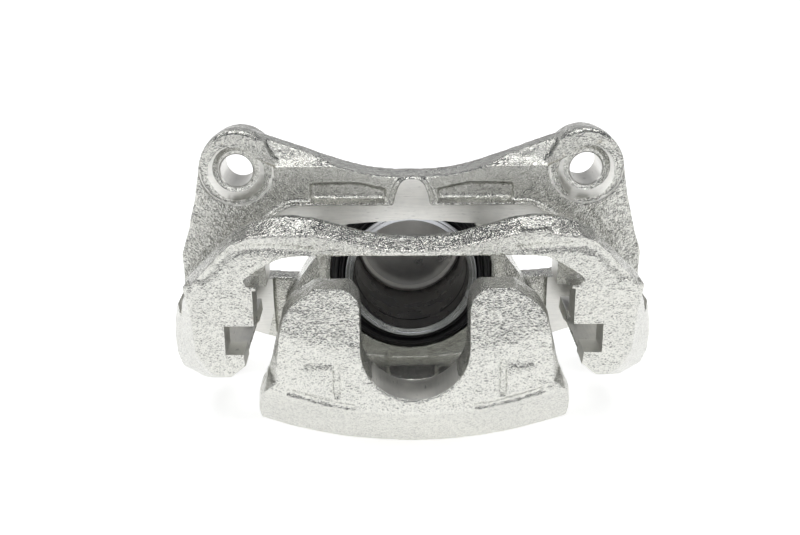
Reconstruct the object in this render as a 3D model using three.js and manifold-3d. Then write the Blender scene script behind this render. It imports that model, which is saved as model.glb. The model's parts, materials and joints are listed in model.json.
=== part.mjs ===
// Sliding brake caliper with its mounting bracket, lying on its bridge.
// Millimetres, +Z up, +Y towards the inboard side, where the cylinder is.
// Every function below works in the piston's frame: its origin is the centre of the piston's
// open end, with the piston's axis along Y. The last lines move the whole caliper so that its
// origin is the middle of the underside.
import * as THREE from 'three';
import { ConvexGeometry } from 'three/addons/geometries/ConvexGeometry.js';
import { mergeVertices } from 'three/addons/utils/BufferGeometryUtils.js';
import Module from 'manifold-3d';

const wasm = await Module();
wasm.setup();

// ---------------------------------------------------------------- driving dimensions
const GAP = 0.3; // running gap between neighbours

// Room for the brake disc: the axle's height, the largest radius swept, and the gap along Y.
const DISC = { axleZ: 122, swept: 152, front: -45, back: -16 };

const PISTON = { radius: 28.575, cupRadius: 25.05, length: 52, cupDepth: 47.5 };

const BORE = { radius: PISTON.radius + GAP, end: 55 };

const CYLINDER = { radius: 39, front: 2.6, back: 63 };

// Radii of the bridge about the axle, and the place where it ends at the back.
const BRIDGE = { outer: 174, inner: 156, back: 30 };

// The fingers' two faces along Y, the gap between them, and the radius of their tips about the axle.
const FINGER = { inner: -60, outer: -78, gapRadius: 20, tip: 90, padProud: 0.6 };

// The bracket's two pad frames, along Y. The rear one has a machined strip, and ends at two depths:
// behind its strip, and behind its arms.
const FRAME = {
  front: -58, frontBack: -45, strip: -16, rearFront: -13.3, rearBack: -3, armBack: 2,
};

// Pad abutment, the same in both frames: the block's face, the notch in it, and the lip below.
const SLOT = {
  block: 61.5, wall: 73, lip: 66, top: 1, bottom: -11, lipBottom: -16.4,
};

// Mounting ears: the ear's centre and radius, its spot face at the front, and its back; the hole's
// radius and its centre, a little below the ear's; the recess round the hole's front end.
const MOUNT = {
  x: 71.7, z: 51.4, radius: 15.6, front: -12.6, back: 8, spot: 15.3, hole: 6.7, holeZ: 50.5,
  recess: 9.6, recessDepth: 0.7,
};

// Guide pins, and the bracket's bosses that they slide in.
const PIN = {
  x: 83, z: -18, radius: 5.4, neck: 5, collar: 6.6, front: -36, hexAcrossFlats: 17, hexLength: 8,
  thread: 3.9, play: 0.4, boreEnd: -42, boss: 14.5, bossFront: -14, bossBack: 2,
};

// Bushing near the front end of the right-hand pin.
const BUSHING = { inner: 4.4, outer: 5.2, front: -33, back: -20 };

// The housing's lugs, which the guide pins are bolted to.
const LUG = { front: 20.3, castFront: 23, back: 33, radius: 14, hole: 4.3 };

const BOLT = { shank: 3.5, front: 6.4, washer: 8.6, hexAcrossFlats: 13, headLength: 7.6 };

// The groove for the piston's seal, and the seal in it.
const SEAL = { groove: 31.8, front: 11.7, back: 15.8 };

// The pocket that holds the dust boot.
const BOOT_POCKET = { radius: 35.3, depth: 8 };

// The bleeder's boss, which leaves the cylinder at an angle above the horizontal, in degrees.
const BLEEDER = { y: 52.5, angle: 25, boss: 9.5, bossEnd: 47, hole: 4.2 };

// The inlet port at the back of the cylinder, and the plug that closes it.
const INLET = { x: -20, z: 8, boss: 11, face: 66, hole: 4.7, plugEnd: 70 };

const CAST_CHAMFER = 1;
const THROUGH = 4; // how far a cutting tool runs past the face it cuts through

// Facets around the disc and the bridge, the cylinder and the piston, and pins and screws.
const DISC_ROUND = 160;
const ROUND = 60;
const SMALL_ROUND = 24;

// ---------------------------------------------------------------- materials
function finish(color, roughness, metalness) {
  return new THREE.MeshStandardMaterial({ color, roughness, metalness });
}

const ZINC_CASTING = finish(0xc4c6c2, 0.45, 0.9);
const MACHINED_STEEL = finish(0x8e9092, 0.28, 1.0);
const PLATED_STEEL = finish(0xb9b8b0, 0.35, 0.95);
const BLACK_RUBBER = finish(0x121214, 0.6, 0.0);
const RED_RUBBER = finish(0x7a2018, 0.6, 0.0);
const RED_PLASTIC = finish(0xa3241c, 0.45, 0.0);

// ---------------------------------------------------------------- solids
function solid(geometry) {
  const bare = geometry.index ? geometry.toNonIndexed() : geometry.clone();
  bare.deleteAttribute('normal');
  bare.deleteAttribute('uv');
  const merged = mergeVertices(bare, 1e-4);
  return new wasm.Manifold(new wasm.Mesh({
    numProp: 3,
    vertProperties: new Float32Array(merged.attributes.position.array),
    triVerts: new Uint32Array(merged.index.array),
  }));
}

function join(...solids) {
  return solids.reduce((whole, next) => whole.add(next));
}

function cut(whole, ...tools) {
  return tools.reduce((left, tool) => left.subtract(tool), whole);
}

function addMesh(name, shape, material, parent) {
  const { vertProperties, triVerts } = shape.getMesh();
  const geometry = new THREE.BufferGeometry();
  geometry.setAttribute('position', new THREE.BufferAttribute(vertProperties, 3));
  geometry.setIndex(new THREE.BufferAttribute(triVerts, 1));
  geometry.computeVertexNormals();
  const mesh = new THREE.Mesh(geometry, material);
  mesh.name = name;
  parent.add(mesh);
  return mesh;
}

// A flat outline in X and Z, extruded along Y between two places.
function prism(outline, yFront, yBack) {
  const shape = new THREE.Shape(outline.map(([x, z]) => new THREE.Vector2(x, z)));
  const geometry = new THREE.ExtrudeGeometry(shape, { depth: yBack - yFront, bevelEnabled: false });
  geometry.rotateX(Math.PI / 2);
  geometry.translate(0, yBack, 0);
  return solid(geometry);
}

// The tightest convex solid around outlines that lie at different places along Y:
// each layer is [y, [[x, z], ...]].
function hull(...layers) {
  const points = layers.flatMap(
    ([y, outline]) => outline.map(([x, z]) => new THREE.Vector3(x, y, z)),
  );
  return solid(new ConvexGeometry(points));
}

function box(x0, x1, y0, y1, z0, z1) {
  const geometry = new THREE.BoxGeometry(x1 - x0, y1 - y0, z1 - z0);
  geometry.translate((x0 + x1) / 2, (y0 + y1) / 2, (z0 + z1) / 2);
  return solid(geometry);
}

// A solid of revolution about an axis along Y through (x, z). The profile is [[radius, y], ...]
// from one end of the axis to the other, or a closed ring if it stays off the axis.
function turned(profile, facets, x = 0, z = 0) {
  const points = profile.map(([r, y]) => new THREE.Vector2(r, y));
  const offAxis = profile.every(([r]) => r > 0);
  if (offAxis) points.push(points[0].clone());
  const area = points.reduce((sum, p, i) => {
    const q = points[(i + 1) % points.length];
    return sum + p.x * q.y - q.x * p.y;
  }, 0);
  if (area < 0) points.reverse();
  const geometry = new THREE.LatheGeometry(points, facets);
  geometry.translate(x, 0, z);
  return solid(geometry);
}

function rod(radius, yFront, yBack, x = 0, z = 0, facets = SMALL_ROUND) {
  return turned([[0, yFront], [radius, yFront], [radius, yBack], [0, yBack]], facets, x, z);
}

function hexagon(acrossFlats, yFront, yBack, x, z) {
  return rod(acrossFlats / Math.sqrt(3), yFront, yBack, x, z, 6);
}

function arc(cx, cz, radius, fromDegrees, toDegrees, steps) {
  return Array.from({ length: steps + 1 }, (_, i) => {
    const t = THREE.MathUtils.degToRad(fromDegrees + ((toDegrees - fromDegrees) * i) / steps);
    return [cx + radius * Math.cos(t), cz + radius * Math.sin(t)];
  });
}

function mirrored(outline) {
  return outline.map(([x, z]) => [-x, z]).reverse();
}

// The whole outline of which only the right half is given, from the middle outwards.
function bothSides(half) {
  return [...half, ...mirrored(half).filter(([x]) => x !== 0)];
}

// A smooth curve through a few points, as a list of points.
function smooth(points, steps) {
  const curve = new THREE.SplineCurve(points.map(([x, z]) => new THREE.Vector2(x, z)));
  return curve.getPoints(steps).map(({ x, y }) => [x, y]);
}

function onBothSides(make) {
  return join(make(1), make(-1));
}

// Turn a right-hand outline into the one on the given side, keeping its sense.
function sided(outline, side) {
  return side > 0 ? outline : mirrored(outline);
}

// ---------------------------------------------------------------- bracket
const BAR_CREST = [ // top of the front frame, from the middle to the tip
  [0, 33.7], [9, 33.9], [19, 35.4], [29, 38.2], [38, 40.9], [47, 42.1], [55, 41.4], [62.5, 39.4],
  [69, 35.6], [75.2, 30], [88, 17],
];

const BAR_EDGE = [ // edge between the bar's front face and its bevel, at the same stations
  [0, 31.4], [9, 31.7], [19, 33.4], [29, 36], [38, 38], [47, 37.9], [55, 37.4], [62.5, 37.2],
  [67.5, 36], [73.3, 30.6], [85, 18],
];

function frontFrameOutline() {
  const underside = smooth([[42, 29], [49.5, 28.2], [55, 25.8], [60, 22.8], [64.6, 19.4]], 8);
  return bothSides([
    [0, 29], ...underside, [SLOT.block, 15.6], [SLOT.block, SLOT.lipBottom],
    [SLOT.lip + 0.5, SLOT.lipBottom],
    [71, -20.6], [76, -20.6], [79.7, -17.8], [84.6, -10.6], [86, 5], [88, 17],
    ...BAR_CREST.slice(0, -1).reverse(),
  ]);
}

// What is cut off the front frame's upper front edge, station by station.
function barBevel(side) {
  const crestY = FRAME.front + 10;
  const far = 30;
  const clear = 1.2;
  const wedges = BAR_CREST.slice(1).map((crest, i) => {
    const ends = [i, i + 1];
    const low = ends.map((k) => [side * BAR_EDGE[k][0], BAR_EDGE[k][1]]);
    const high = ends.map((k) => [side * BAR_CREST[k][0], BAR_CREST[k][1]]);
    const above = ends.map((k) => [side * BAR_CREST[k][0], BAR_CREST[k][1] + far]);
    const outside = low.map(([x, z]) => [x, z - clear]);
    return hull(
      [FRAME.front, low], [FRAME.front - THROUGH, [...outside, ...above]], [crestY, [...high, ...above]],
    );
  });
  return join(...wedges);
}

// Shallow crease along the front face, a little inside the bevel.
function frameCrease(side) {
  const halfWidth = 1.1;
  const depth = 0.7;
  const line = [
    [84, 14.6], [77.5, 20.6], [69.6, 30.2], [65.4, 32.6], [54, 33.1], [43.5, 32.6], [36, 31.2],
  ];
  const pieces = line.slice(1).map(([x, z], i) => {
    const [startX, startZ] = line[i];
    const length = Math.hypot(x - startX, z - startZ);
    const acrossX = (-(z - startZ) / length) * halfWidth;
    const acrossZ = ((x - startX) / length) * halfWidth;
    const ends = [[startX, startZ], [x, z]];
    const wide = ends.flatMap(([a, b]) => [[a + acrossX, b + acrossZ], [a - acrossX, b - acrossZ]]);
    return hull([FRAME.front - 1, sided(wide, side)], [FRAME.front + depth, sided(ends, side)]);
  });
  return join(...pieces);
}

// Lower edge of the rear frame, from the pad's block towards the round opening over the piston.
const REAR_UNDERSIDE = [[SLOT.block, 15], [57, 23.5], [50, 29.3]];
const OPENING_RADIUS = PISTON.radius + 2.6;

function rearFrameOutline() {
  const topEdge = smooth([[0, 47.8], [11, 48.2], [22, 50], [34, 53.7], [47, 58.4], [58, 62.2]], 10);
  const ear = arc(MOUNT.x, MOUNT.z, MOUNT.radius - 1, 120, 0, 10);
  return bothSides([
    ...topEdge, ...ear, [90, 37.5], [93.4, 24.5], [96.6, 14.5], [96.2, 6], [97, -3], [97.4, -21],
    [94.6, -28], [87, -32.4], [79, -32.4], [70, -24], [SLOT.lip + 0.5, SLOT.lipBottom],
    [SLOT.block, SLOT.lipBottom], ...REAR_UNDERSIDE, ...arc(0, 0, OPENING_RADIUS, 70, 90, 4),
  ]);
}

// The arm that joins the two frames past the disc, heavy at the back and light at the front.
function arm(side) {
  const flareEnd = -36;
  const bossChamfer = 1.5;
  const heavy = [
    [SLOT.lip, SLOT.lipBottom], [70, -23], [78, -30.4], [86, -31], [94.4, -25.6], [96.4, -20],
    [96.8, -13], [96.5, -6], [95, 2], [91, 8], [66, 4],
  ];
  const light = [
    [SLOT.lip, SLOT.lipBottom], [71, -20.6], [76, -20.6], [79.7, -17.8], [84.6, -10.6], [85.4, 14],
    [66, 4],
  ];
  const middle = prism(sided(heavy, side), flareEnd, FRAME.rearBack);
  const flare = hull([FRAME.front, sided(light, side)], [flareEnd, sided(heavy, side)]);
  const boss = turned([
    [0, PIN.bossFront], [PIN.boss, PIN.bossFront], [PIN.boss, PIN.bossBack - bossChamfer],
    [PIN.boss - bossChamfer, PIN.bossBack], [0, PIN.bossBack],
  ], SMALL_ROUND, side * PIN.x, PIN.z);
  return join(middle, flare, boss);
}

// Boss of the mounting hole, widest in its middle.
function mountingEar(side) {
  const middleFront = MOUNT.front + 1;
  const middleBack = -3.5;
  const crown = (radius) => arc(MOUNT.x, MOUNT.z, radius, 180, 0, 14);
  const foot = [[91, 30], [64, 30]];
  const backFoot = [[87, 40], [60, 40]];
  const front = sided([...crown(MOUNT.radius - 0.6), ...foot], side);
  const middle = sided([...crown(MOUNT.radius), ...foot], side);
  const back = sided([...crown(MOUNT.radius - 1), ...backFoot], side);
  return join(
    hull([FRAME.rearFront, front], [middleFront, middle], [middleBack, middle]),
    hull([middleBack, middle], [MOUNT.back, back]),
  );
}

// Upper front of the rear frame: a narrow ledge, and a face that leans back above it.
function upperBevel(side) {
  const ledgeBack = -11;
  const low = [[24, 52.5], [60, 52.5]];
  const ledge = [[24, 53.6], [60, 54.3]];
  const high = [[24, 56], [60, 66]];
  const above = [[24, 90], [60, 90]];
  return hull(
    [FRAME.rearFront, sided(low, side)], [FRAME.rearFront - 8, sided([...low, ...above], side)],
    [ledgeBack, sided(ledge, side)], [-5, sided([...high, ...above], side)],
  );
}

// The top of the ear leans back above the hole's spot face, with a narrow ledge first.
function earBevel(side) {
  const low = [[50, 62.1], [95, 62.1]];
  const ledge = [[50, 63.9], [95, 63.9]];
  const high = [[50, 67.2], [95, 67.2]];
  const above = [[50, 90], [95, 90]];
  return hull(
    [MOUNT.front, sided(low, side)], [MOUNT.front - 8, sided([...low, ...above], side)],
    [MOUNT.front + 1.8, sided(ledge, side)], [MOUNT.front + 3.8, sided([...high, ...above], side)],
  );
}

// Diagonal rib that runs down from the ear, inside the hole.
function earRib(side) {
  const foot = [[53.2, 55.4], [56.6, 52.8], [67.6, 63.8], [64, 66.6]];
  const ridge = [[55.2, 54.2], [66.2, 65.2]];
  return hull([-7, sided(foot, side)], [MOUNT.front, sided(ridge, side)]);
}

// Shallow pocket cast into the rear frame, above its machined strip.
function castPocket(side) {
  const rim = [[42.6, 37.4], [42.6, 45.6], [24, 46.2], [9.6, 43.2], [10.6, 37.4]];
  const floor = [[41, 39], [41, 44.2], [24, 44.8], [11.4, 42], [12, 39]];
  return hull([FRAME.rearFront - 1, sided(rim, side)], [FRAME.rearFront + 2.4, sided(floor, side)]);
}

// Raised strip along the rear frame, with a tab up the middle, and a smaller flat face on a wider foot.
function machinedStrip() {
  const foot = [
    [0, 48.6], [4, 48.2], [6.6, 46.2], [8.2, 43], [9.2, 40.4], [10.2, 37.6], [49, 37.6],
    [53, 36.2], [59, 32.2], [SLOT.block, 27], [0, 27],
  ];
  const face = [
    [0, 47.8], [2.8, 47.5], [4.6, 46.2], [5.7, 44.2], [6.8, 41], [7.8, 36.6], [48.6, 36.6],
    [52, 35.2], [57.6, 31.6], [SLOT.block, 25], [0, 25],
  ];
  return join(
    prism(bothSides(foot), FRAME.strip + 1, FRAME.rearFront + 4),
    prism(bothSides(face), FRAME.strip, FRAME.strip + 1.5),
  );
}

// Everything below the rear frame's lower edge.
function underRearFrame() {
  const outline = bothSides([
    [0, OPENING_RADIUS], ...arc(0, 0, OPENING_RADIUS, 88, 71, 3), ...REAR_UNDERSIDE.slice().reverse(),
    [SLOT.block, 0], [0, 0],
  ]);
  return prism(outline, FRAME.strip - 2, FRAME.armBack + THROUGH);
}

// The notch and the lip, broached through both frames at once.
function broach(side) {
  const inside = SLOT.block - 14;
  const below = SLOT.lipBottom - 4;
  const channel = [
    [inside, SLOT.top], [SLOT.wall, SLOT.top], [SLOT.wall, SLOT.bottom], [SLOT.lip, SLOT.bottom],
    [SLOT.lip - 0.8, below], [inside, below],
  ];
  return prism(sided(channel, side), FRAME.front - THROUGH, FRAME.armBack + THROUGH);
}

// The mounting hole with its recess and spot face, and the bore for the guide pin.
function drilledHoles(side) {
  const farFront = MOUNT.front - 20;
  const x = side * MOUNT.x;
  const recessEnd = MOUNT.front + MOUNT.recessDepth;
  const recess = turned([
    [0, MOUNT.front - 1], [MOUNT.recess, MOUNT.front - 1], [MOUNT.recess, MOUNT.front],
    [MOUNT.recess - MOUNT.recessDepth, recessEnd], [0, recessEnd],
  ], SMALL_ROUND, x, MOUNT.z);
  return join(
    rod(MOUNT.hole, farFront, MOUNT.back + THROUGH, x, MOUNT.holeZ),
    recess,
    rod(MOUNT.spot, farFront, MOUNT.front, x, MOUNT.z, 36),
    rod(PIN.radius + PIN.play, PIN.boreEnd, PIN.bossBack + THROUGH, side * PIN.x, PIN.z),
  );
}

function bracketSolid() {
  const behind = FRAME.armBack + 20;
  const discRoom = rod(DISC.swept, DISC.front, DISC.back, 0, DISC.axleZ, DISC_ROUND);
  const cylinderRoom = rod(CYLINDER.radius + 2, FRAME.rearBack, behind, 0, 0, ROUND);
  const roomBehindStrip = box(-61, 61, FRAME.rearBack, behind, -60, 40);
  const frontFrame = cut(
    prism(frontFrameOutline(), FRAME.front, FRAME.frontBack),
    onBothSides(barBevel), onBothSides(frameCrease),
  );
  const rearFrame = cut(
    prism(rearFrameOutline(), FRAME.rearFront, FRAME.armBack),
    onBothSides(upperBevel), onBothSides(castPocket),
  );
  const ears = join(cut(onBothSides(mountingEar), onBothSides(earBevel)), onBothSides(earRib));
  const front = cut(join(frontFrame, onBothSides(arm)), discRoom);
  const rear = join(cut(join(rearFrame, ears), roomBehindStrip, cylinderRoom), machinedStrip());
  return cut(join(front, rear), underRearFrame(), onBothSides(drilledHoles), onBothSides(broach));
}

// ---------------------------------------------------------------- caliper housing
// A ring about the axle, of which only the bridge and the two fingers are left.
function bridgeAndFingers() {
  const rootY = -66;
  const section = [
    [FINGER.tip, -72.5], [125.5, FINGER.outer], [149, FINGER.outer], [168.8, -62], [BRIDGE.outer, -50],
    [BRIDGE.outer, BRIDGE.back], [165, BRIDGE.back + 8], [158, BRIDGE.back + 8], [163, 4], [162, -2],
    [BRIDGE.inner, -22], [BRIDGE.inner, FINGER.inner], [FINGER.tip, FINGER.inner],
  ];
  const ring = turned(section, DISC_ROUND, 0, DISC.axleZ);
  const fingerFace = bothSides([
    [0, 22.8], [36.5, 22.8], [44, 17.8], [47.6, 13], [49, 8], [49.6, 2], [51, -12], [53, -60], [0, -60],
  ]);
  const fingerRoot = bothSides([
    [0, 21.6], [37.5, 21.6], [46.6, 15.4], [49.8, 10], [51.2, 4], [52.2, -2], [55.2, -12], [57, -60],
    [0, -60],
  ]);
  const baseFace = bothSides([[0, -15], [52.5, -14], [56.5, -18.6], [57.4, -27], [56, -60], [0, -60]]);
  const baseRoot = bothSides([[0, -13], [55.5, -12.5], [59.6, -21.5], [60, -26], [60, -60], [0, -60]]);
  const faceY = FINGER.outer - 2;
  const fingers = hull([faceY, fingerFace], [rootY, fingerRoot], [FINGER.inner + 1, fingerRoot]);
  const base = hull([faceY, baseFace], [rootY, baseRoot], [rootY + 10, baseRoot]);
  const bridgePlan = hull(
    [-57, [[-60, -10], [60, -10], [60, -80], [-60, -80]]],
    [-20, [[-57, -10], [57, -10], [57, -80], [-57, -80]]],
    [BRIDGE.back + 10, [[-46, -10], [46, -10], [46, -80], [-46, -80]]],
  );
  return ring.intersect(join(fingers, base, bridgePlan));
}

function fingerGap() {
  const r = FINGER.gapRadius;
  const half = [
    ...arc(0, -1, r, -90, 0, 12), [r, 13], [r + 0.8, 17.6], [r + 3.4, 21], [r + 8, 23], [r + 8, 60],
    [0, 60],
  ];
  return prism(bothSides(half), FINGER.outer - THROUGH, FINGER.inner + THROUGH);
}

// Low raised pads on the two fingers.
function fingerPad(x0, x1, low0, low1) {
  const draft = FINGER.padProud;
  const footTop = -3;
  const faceTop = -8;
  const foot = [[x0, low0], [x1, low1], [x1, footTop], [x0, footTop]];
  const face = [
    [x0 + draft, low0 + draft], [x1 - draft, low1 + draft], [x1 - draft, faceTop], [x0 + draft, faceTop],
  ];
  return hull([FINGER.outer + 1, foot], [FINGER.outer - FINGER.padProud, face]);
}

// The cylinder with a bead round its mouth, and the web that joins it to the bridge.
function cylinderBody() {
  const barrel = turned([
    [0, CYLINDER.front], [37.4, CYLINDER.front], [39.4, 3.4], [40.2, 5.4], [39.4, 8],
    [CYLINDER.radius, 10], [CYLINDER.radius - 0.8, 30], [35.6, 50], [33, 58], [28.5, 61.8],
    [24, CYLINDER.back], [0, CYLINDER.back],
  ], ROUND);
  const flank = [
    [0, 20], [30, 20], [35, 12.6], [42.2, 6.9], [48, -1], [52, -8.6], [56.5, -17], [57.4, -26],
    [54, -60], [0, -60],
  ];
  const flankBack = [[0, 16], [28, 16], [34, 6], [42, -4], [46, -14], [46, -60], [0, -60]];
  const web = hull([4, bothSides(flank)], [24, bothSides(flank)], [38, bothSides(flankBack)]);
  const underside = rod(BRIDGE.outer, -30, CYLINDER.back, 0, DISC.axleZ, DISC_ROUND);
  return join(barrel, web.intersect(underside));
}

// A lug for one guide pin, with a rib behind it.
function lug(side) {
  const ribEnd = 48;
  const outline = [
    [36, -9.6], [49, -9.4], [64, -8.6], [72, -7],
    ...arc(PIN.x, PIN.z, LUG.radius, 110, -95, 12), [65.4, -37], [52, -42], [36, -42],
  ];
  const recess = [[30, 10], [61.5, 10], [62.5, -8], [62.5, -22], [61, -50], [30, -50]];
  const cast = prism(sided(outline, side), LUG.front, LUG.back);
  const rib = hull(
    [LUG.back - 1, sided([[34, -13], [70, -14], [70, -24], [34, -34]], side)],
    [ribEnd, sided([[28, -18], [28, -28], [31, -19], [31, -26]], side)],
  );
  return join(cut(cast, prism(sided(recess, side), LUG.front - 1, LUG.castFront)), rib);
}

// A cylinder whose axis leaves the bore sideways, at the bleeder's angle.
function bleederTurned(profile, facets) {
  const points = profile.map(([r, along]) => new THREE.Vector2(r, along));
  const geometry = new THREE.LatheGeometry(points, facets);
  geometry.rotateZ(-Math.PI / 2);
  geometry.rotateY(-THREE.MathUtils.degToRad(BLEEDER.angle));
  geometry.translate(0, BLEEDER.y, 0);
  return solid(geometry);
}

function boreRoom() {
  return turned([
    [0, 0], [BOOT_POCKET.radius, 0], [BOOT_POCKET.radius, BOOT_POCKET.depth],
    [BORE.radius, BOOT_POCKET.depth + 0.6], [BORE.radius, SEAL.front], [SEAL.groove, SEAL.front],
    [SEAL.groove, SEAL.back], [BORE.radius, SEAL.back], [BORE.radius, BORE.end - 1],
    [BORE.radius - 2, BORE.end], [0, BORE.end],
  ], ROUND);
}

function bleederBoss() {
  return bleederTurned([
    [0, 30], [BLEEDER.boss, 30], [BLEEDER.boss, BLEEDER.bossEnd - CAST_CHAMFER],
    [BLEEDER.boss - CAST_CHAMFER, BLEEDER.bossEnd], [0, BLEEDER.bossEnd],
  ], SMALL_ROUND);
}

// The bleeder's threaded hole, its seat, and the passage on into the bore.
function bleederHole() {
  const passage = 1.5;
  return bleederTurned([
    [0, 20], [passage, 20], [passage, 33], [BLEEDER.hole, 36], [BLEEDER.hole, 60], [0, 60],
  ], SMALL_ROUND);
}

function inletBoss() {
  return turned([
    [0, 50], [INLET.boss, 50], [INLET.boss, INLET.face - CAST_CHAMFER],
    [INLET.boss - CAST_CHAMFER, INLET.face], [0, INLET.face],
  ], SMALL_ROUND, INLET.x, INLET.z);
}

function inletHole() {
  const passage = 1.6;
  return turned([
    [0, 50], [passage, 50], [passage, 57], [INLET.hole, 58.6], [INLET.hole, 72], [0, 72],
  ], SMALL_ROUND, INLET.x, INLET.z);
}

// Low boss in the middle of the bridge, under the disc's edge.
function bridgeNub() {
  return hull(
    [-41, [[-10.5, -37], [10.5, -37], [10.5, -34.4], [-10.5, -34.4]]],
    [-38.5, [[-10, -37], [10, -37], [8.8, -31.2], [-8.8, -31.2]]],
    [-24, [[-11.5, -40], [11.5, -40], [10.2, -31.6], [-10.2, -31.6]]],
    [-21, [[-12, -40], [12, -40], [12, -35.6], [-12, -35.6]]],
  );
}

function housingSolid() {
  const leftPad = fingerPad(-41.5, -29, -17.6, -20.6);
  const rightPad = fingerPad(32.5, 44.5, -20.2, -17.2);
  const front = cut(join(bridgeAndFingers(), leftPad, rightPad), fingerGap());
  const cast = join(
    front, cylinderBody(), onBothSides(lug), bleederBoss(), inletBoss(), bridgeNub(),
  );
  const boltHole = (side) => rod(LUG.hole, 10, 60, side * PIN.x, PIN.z);
  return cut(cast, boreRoom(), bleederHole(), inletHole(), onBothSides(boltHole));
}

// ---------------------------------------------------------------- piston and its rubber
// A cup, open at the front, with a groove for the dust boot's lip near its rim.
function pistonSolid() {
  const { radius, cupRadius, length, cupDepth } = PISTON;
  const groove = { radius: radius - 1.7, front: 4.4, back: 7.2 };
  return turned([
    [0, length], [radius - 1.5, length], [radius, length - 1.5], [radius, groove.back],
    [groove.radius, groove.back], [groove.radius, groove.front], [radius, groove.front],
    [radius, 0.6], [radius - 0.6, 0], [cupRadius + 0.5, 0], [cupRadius, 0.5],
    [cupRadius, cupDepth - 5], [cupRadius - 1.4, cupDepth - 1.6], [cupRadius - 5, cupDepth],
    [0, cupDepth],
  ], ROUND);
}

function pistonSealSolid() {
  const clear = 0.4;
  const inner = PISTON.radius + 0.625;
  const outer = SEAL.groove - clear;
  const front = SEAL.front + clear;
  const back = SEAL.back - clear;
  return turned([[inner, front], [outer, front], [outer, back], [inner, back]], ROUND);
}

// Folded ring between the piston's groove and the housing's pocket.
function pistonDustBootSolid() {
  return turned([
    [27.3, 4.8], [29.3, 4.8], [29.3, 2.6], [30.4, 2.2], [31.2, 3.6], [32.4, 3.6], [33.2, 2.2],
    [34.4, 2.4], [34.9, 3.4], [34.9, 7.5], [33.4, 7.5], [33.4, 5.6], [29.4, 6.8], [27.3, 6.8],
  ], ROUND);
}

// ---------------------------------------------------------------- guide pins
// A pin with a hexagon at its back end, a groove for the boot's lip, and a blind threaded hole.
// The right-hand pin is thinner at its front end, where it carries the bushing.
function guidePinSolid(side) {
  const hexBack = LUG.front - GAP;
  const hexFront = LUG.front - PIN.hexLength;
  const seatEnd = BUSHING.back + 0.5;
  const carriesBushing = side > 0;
  const bare = PIN.radius - 1.3;
  const frontEnd = carriesBushing
    ? [[PIN.radius, seatEnd], [bare, seatEnd], [bare, PIN.front + 1], [bare - 0.8, PIN.front]]
    : [[PIN.radius, PIN.front + 1], [PIN.radius - 1, PIN.front]];
  const shank = turned([
    [0, hexBack], [PIN.collar, hexBack], [PIN.collar, hexFront - 0.2], [PIN.neck, hexFront - 0.4],
    [PIN.neck, hexFront - 2.6], [PIN.radius, hexFront - 3], ...frontEnd, [0, PIN.front],
  ], SMALL_ROUND, side * PIN.x, PIN.z);
  const hex = hexagon(PIN.hexAcrossFlats, hexFront, hexBack, side * PIN.x, PIN.z);
  const threadedHole = rod(PIN.thread, 4, 30, side * PIN.x, PIN.z);
  return cut(join(shank, hex), threadedHole);
}

function guidePinBushingSolid() {
  const { inner, outer, front, back } = BUSHING;
  return turned([[inner, front], [outer, front], [outer, back], [inner, back]], SMALL_ROUND, PIN.x, PIN.z);
}

function guidePinBoltSolid(side) {
  const head = LUG.back + GAP;
  const { shank, front, washer } = BOLT;
  const body = turned([
    [0, front], [shank - 0.7, front], [shank, front + 1], [shank, head], [washer, head],
    [washer, head + 1.4], [washer - 1.6, head + 2.4], [0, head + 2.4],
  ], SMALL_ROUND, side * PIN.x, PIN.z);
  return join(
    body, hexagon(BOLT.hexAcrossFlats, head + 1, head + BOLT.headLength, side * PIN.x, PIN.z),
  );
}

// Pleated sleeve over the pin, from the bracket's boss to the pin's groove.
function guidePinBootSolid(side) {
  return turned([
    [6.2, 2.3], [10.6, 2.3], [10.6, 4], [8.2, 4.7], [11.4, 6.2], [8.2, 7.7], [11.4, 9.2],
    [9.4, 10.4], [9.4, 11.6], [5.5, 11.6], [5.5, 10.2], [8, 9.4], [6.6, 7.7], [8.6, 6.2], [6.4, 4.2],
  ], SMALL_ROUND, side * PIN.x, PIN.z);
}

// ---------------------------------------------------------------- ports
// Cone, threaded shank, hexagon, and a barbed nipple at the outer end.
function bleederScrewSolid() {
  const screw = bleederTurned([
    [0, 33.9], [0.9, 33.9], [3.7, 37], [3.7, 47.4], [4.6, 47.6], [4.6, 48.2], [3.1, 53],
    [3.1, 54.4], [2.4, 55.2], [2.4, 56.6], [3.2, 57.6], [2.4, 60.6], [0, 60.6],
  ], SMALL_ROUND);
  const hex = bleederTurned([[0, 47.6], [5.7, 47.6], [5.7, 52.6], [0, 52.6]], 6);
  return join(screw, hex);
}

function bleederCapSolid() {
  return bleederTurned([
    [3.6, 54], [4.9, 54], [5.1, 54.8], [5.1, 56.4], [4.6, 57], [4.6, 62.6], [3.2, 64], [0, 64], [0, 61.4],
    [3.6, 61.4], [3.6, 54],
  ], SMALL_ROUND);
}

function inletPlugSolid() {
  const shank = INLET.hole - 0.4;
  const head = INLET.face + GAP;
  const flange = 8;
  return turned([
    [0, 59.5], [shank - 0.7, 59.5], [shank, 60.5], [shank, head], [flange, head], [flange, head + 2.3],
    [flange - 1, head + 3.3], [3, INLET.plugEnd], [0, INLET.plugEnd],
  ], SMALL_ROUND, INLET.x, INLET.z);
}

// ---------------------------------------------------------------- the whole caliper
const caliper = new THREE.Group();
addMesh('bracket', bracketSolid(), ZINC_CASTING, caliper);

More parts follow.
